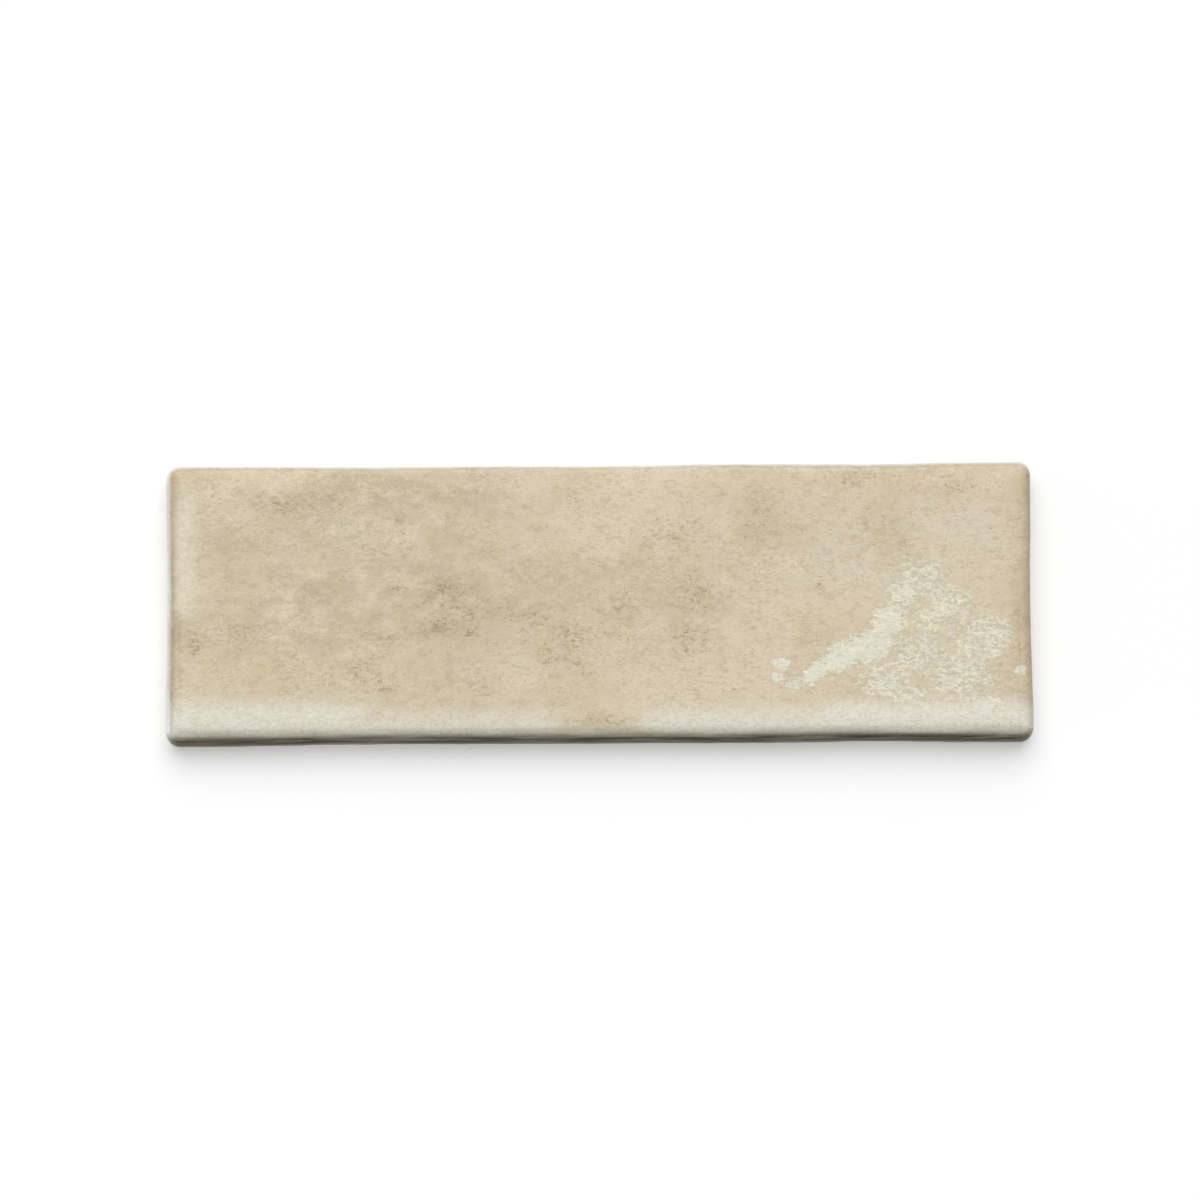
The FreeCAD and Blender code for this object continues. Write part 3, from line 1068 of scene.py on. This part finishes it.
    def edge_shade_at(self, place: Vector) -> float:
        """Give how much painted shade darkens the rolled edge and side at a point.

        Args:
            place: A point of the mesh.

        Returns:
            The amount, most on the front side, with a thin line of it at the left end.
        """
        away = self.outward(place.x, place.y)
        front = self.edge_shade_aside + (1 - self.edge_shade_aside) * max(-away.y, 0)
        front *= self.edge_shade_top.at(place.z) * self.edge_shade_foot.at(place.z)
        line = max(-away.x, 0) * self.groove_spread.at(abs(place.z - self.groove_line))
        return self.near_side(place) * max(front, line)

    def painted_highlight_at(self, place: Vector) -> float:
        """Give how strong the painted highlight is at a point, most along the back and the left end."""
        away = self.outward(place.x, place.y)
        line = self.highlight_spread.at(abs(place.z - self.highlight_line))
        return self.near_side(place) * max(-away.x, away.y, 0) * line

    def write_masks(self, mesh: bpy.types.Mesh) -> None:
        """Store on the mesh all that its glaze asks of it.

        Args:
            mesh: The finished mesh.
        """
        measures = {}
        for mask, rows in FACE_MARKS.items():
            kind = Band if mask is Mask.BLOOM else Mark
            measures[mask] = partial(self.mark_at, [kind(*row) for row in rows])
        measures |= {Mask.HEIGHT: self.above_lip, Mask.PAINTED_SHADE: self.edge_shade_at, Mask.PAINTED_HIGHLIGHT: self.painted_highlight_at}
        for mask, measure in measures.items():
            layer = mesh.attributes.new(mask.value, "FLOAT", "POINT")
            layer.data.foreach_set("value", [measure(vertex.co) for vertex in mesh.vertices])

    def build(self) -> bpy.types.Object:
        """Build the tile's mesh, with its marks.

        Returns:
            The tile, in the scene.
        """
        builder = bmesh.new()
        rim = self.add_face(builder)
        bed = self.add_sides(builder, rim)
        self.add_back(builder, bed)
        mesh = bpy.data.meshes.new(self.name)
        builder.to_mesh(mesh)
        builder.free()
        self.write_masks(mesh)
        tile = bpy.data.objects.new(self.name, mesh)
        bpy.context.scene.collection.objects.link(tile)
        return tile

    def dress(self, tile: bpy.types.Object) -> None:
        """Give the tile its glaze and its bare back, and tie it to its solid.

        Args:
            tile: The tile's object.
        """
        tile.data.materials.append(Glaze().make())
        tile.data.materials.append(Bisque().make())
        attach(tile, "root")
        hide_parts("wall_tile")


def toward(azimuth: float, elevation: float) -> Vector:
    """Give the direction of a compass and a height angle.

    Args:
        azimuth: Degrees, 0 for the front of the tile (-Y), 90 for its right end.
        elevation: Degrees above the floor.

    Returns:
        The direction, one metre long.
    """
    turn, rise = math.radians(azimuth), math.radians(elevation)
    return Vector((math.sin(turn) * math.cos(rise), -math.cos(turn) * math.cos(rise), math.sin(rise)))


def put(data: bpy.types.ID, place: Vector, target: Vector, roll: float = 0.0) -> bpy.types.Object:
    """Put a lamp or camera in the scene, aimed at a point.

    Args:
        data: The lamp's or the camera's data.
        place: Where it stands.
        target: What it looks at.
        roll: Degrees that it is turned about its own axis.

    Returns:
        The new object.
    """
    item = bpy.data.objects.new(data.name, data)
    aim = (target - place).to_track_quat("-Z", "Y").to_matrix().to_4x4()
    item.matrix_world = Matrix.Translation(place) @ aim @ Matrix.Rotation(math.radians(roll), 4, "Z")
    bpy.context.scene.collection.objects.link(item)
    return item


def grey(level: float) -> Colour:
    """Give a grey of a level from 0 to 1."""
    return level, level, level, 1.0


@dataclass
class Studio:
    """The plain pale floor, the soft light and the camera."""

    floor_size: float = 12.0
    floor_gap: float = 0.05 * MM
    floor_tone: float = 0.72
    floor_shade: float = 0.25
    floor_glow: float = 0.34
    sky: float = 0.3
    key_azimuth: float = 180.0
    key_elevation: float = 53.0
    key_strength: float = 2.42
    key_spread: float = 70.0
    strip_azimuth: float = -90.0
    strip_elevation: float = 3.5
    strip_distance: float = 0.9
    strip_size: tuple[float, float] = (0.9, 0.05)
    strip_power: float = 3.6
    strip_colour: Point = (0.78, 0.9, 1.0)
    lens: float = 200.0
    sensor: float = 36.0
    clip: tuple[float, float] = (0.01, 50.0)
    frame_width: float = 276.8 * MM
    view_elevation: float = 82.0
    view_roll: float = -0.35
    aim: Point = (0.23 * MM, 0.51 * MM, 7.0 * MM)

    def seen_directly(self, tree: bpy.types.NodeTree) -> Socket:
        """Tell the rays of the camera, reflections and transmissions from those that carry light.

        Args:
            tree: The node tree to add to.

        Returns:
            1 for a ray that shows the background, otherwise 0.
        """
        path = new_node(tree, "ShaderNodeLightPath")
        total = path.outputs["Is Camera Ray"]
        for name in ("Is Glossy Ray", "Is Transmission Ray"):
            values = {0: total, 1: path.outputs[name]}
            total = new_node(tree, "ShaderNodeMath", values, operation="MAXIMUM").outputs[0]
        return total

    def make_floor(self) -> None:
        """Lay the floor, white to look at and greyer to the light that it throws back."""
        half = self.floor_size / 2
        mesh = bpy.data.meshes.new("floor")
        corners = [(-half, -half, 0), (half, -half, 0), (half, half, 0), (-half, half, 0)]
        mesh.from_pydata(corners, [], [(0, 1, 2, 3)])
        floor = bpy.data.objects.new("floor", mesh)
        floor.location.z = -self.floor_gap
        bpy.context.scene.collection.objects.link(floor)
        material = bpy.data.materials.new("studio_floor")
        material.use_nodes = True
        tree = material.node_tree
        tree.nodes.clear()
        thrown = new_node(tree, "ShaderNodeBsdfDiffuse", {"Color": grey(self.floor_shade)})
        shown = new_node(tree, "ShaderNodeBsdfPrincipled", {
            "Base Color": grey(self.floor_tone),
            "Roughness": 1.0,
            "Specular IOR Level": 0.0,
            "Emission Color": grey(1.0),
            "Emission Strength": self.floor_glow,
        })
        sources = (self.seen_directly(tree), thrown.outputs["BSDF"], shown.outputs["BSDF"])
        switch = new_node(tree, "ShaderNodeMixShader", dict(enumerate(sources)))
        new_node(tree, "ShaderNodeOutputMaterial", {"Surface": switch.outputs["Shader"]})
        mesh.materials.append(material)

    def make_sky(self) -> None:
        """Surround the scene with an even light, white to look at."""
        world = bpy.data.worlds.new("studio_sky")
        bpy.context.scene.world = world
        world.use_nodes = True
        tree = world.node_tree
        tree.nodes.clear()
        level = new_node(tree, "ShaderNodeMapRange", {"Value": self.seen_directly(tree), "To Min": self.sky})
        values = {"Color": grey(1.0), "Strength": level.outputs["Result"]}
        background = new_node(tree, "ShaderNodeBackground", values)
        new_node(tree, "ShaderNodeOutputWorld", {"Surface": background.outputs["Background"]})

    def make_lights(self) -> None:
        """Hang the broad key light over the back edge and a cool strip low at the left end."""
        key = bpy.data.lights.new("key", "SUN")
        key.energy = self.key_strength
        key.angle = math.radians(self.key_spread)
        put(key, toward(self.key_azimuth, self.key_elevation), Vector())
        strip = bpy.data.lights.new("left_strip", "AREA")
        strip.shape = "RECTANGLE"
        strip.size, strip.size_y = self.strip_size
        strip.energy = self.strip_power
        strip.color = self.strip_colour
        put(strip, toward(self.strip_azimuth, self.strip_elevation) * self.strip_distance, Vector())

    def make_camera(self) -> None:
        """Set up the camera of the photograph: nearly straight down, from the front."""
        data = bpy.data.cameras.new("camera")
        data.lens = self.lens
        data.sensor_width = self.sensor
        data.clip_start, data.clip_end = self.clip
        distance = self.frame_width * self.lens / self.sensor
        target = Vector(self.aim)
        place = target + toward(0, self.view_elevation) * distance
        bpy.context.scene.camera = put(data, place, target, self.view_roll)


def main() -> None:
    """Build the tile and the studio round it."""
    logging.basicConfig(level=logging.INFO, format="%(name)s: %(message)s")
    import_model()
    tile = GlazedTile()
    piece = tile.build()
    tile.dress(piece)
    LOG.info("%s: %d faces", piece.name, len(piece.data.polygons))
    studio = Studio()
    studio.make_camera()
    studio.make_floor()
    studio.make_sky()
    studio.make_lights()
    LOG.info("studio: floor, light and camera")
    bpy.context.scene.view_settings.view_transform = "Standard"


if __name__ == "__main__":
    main()
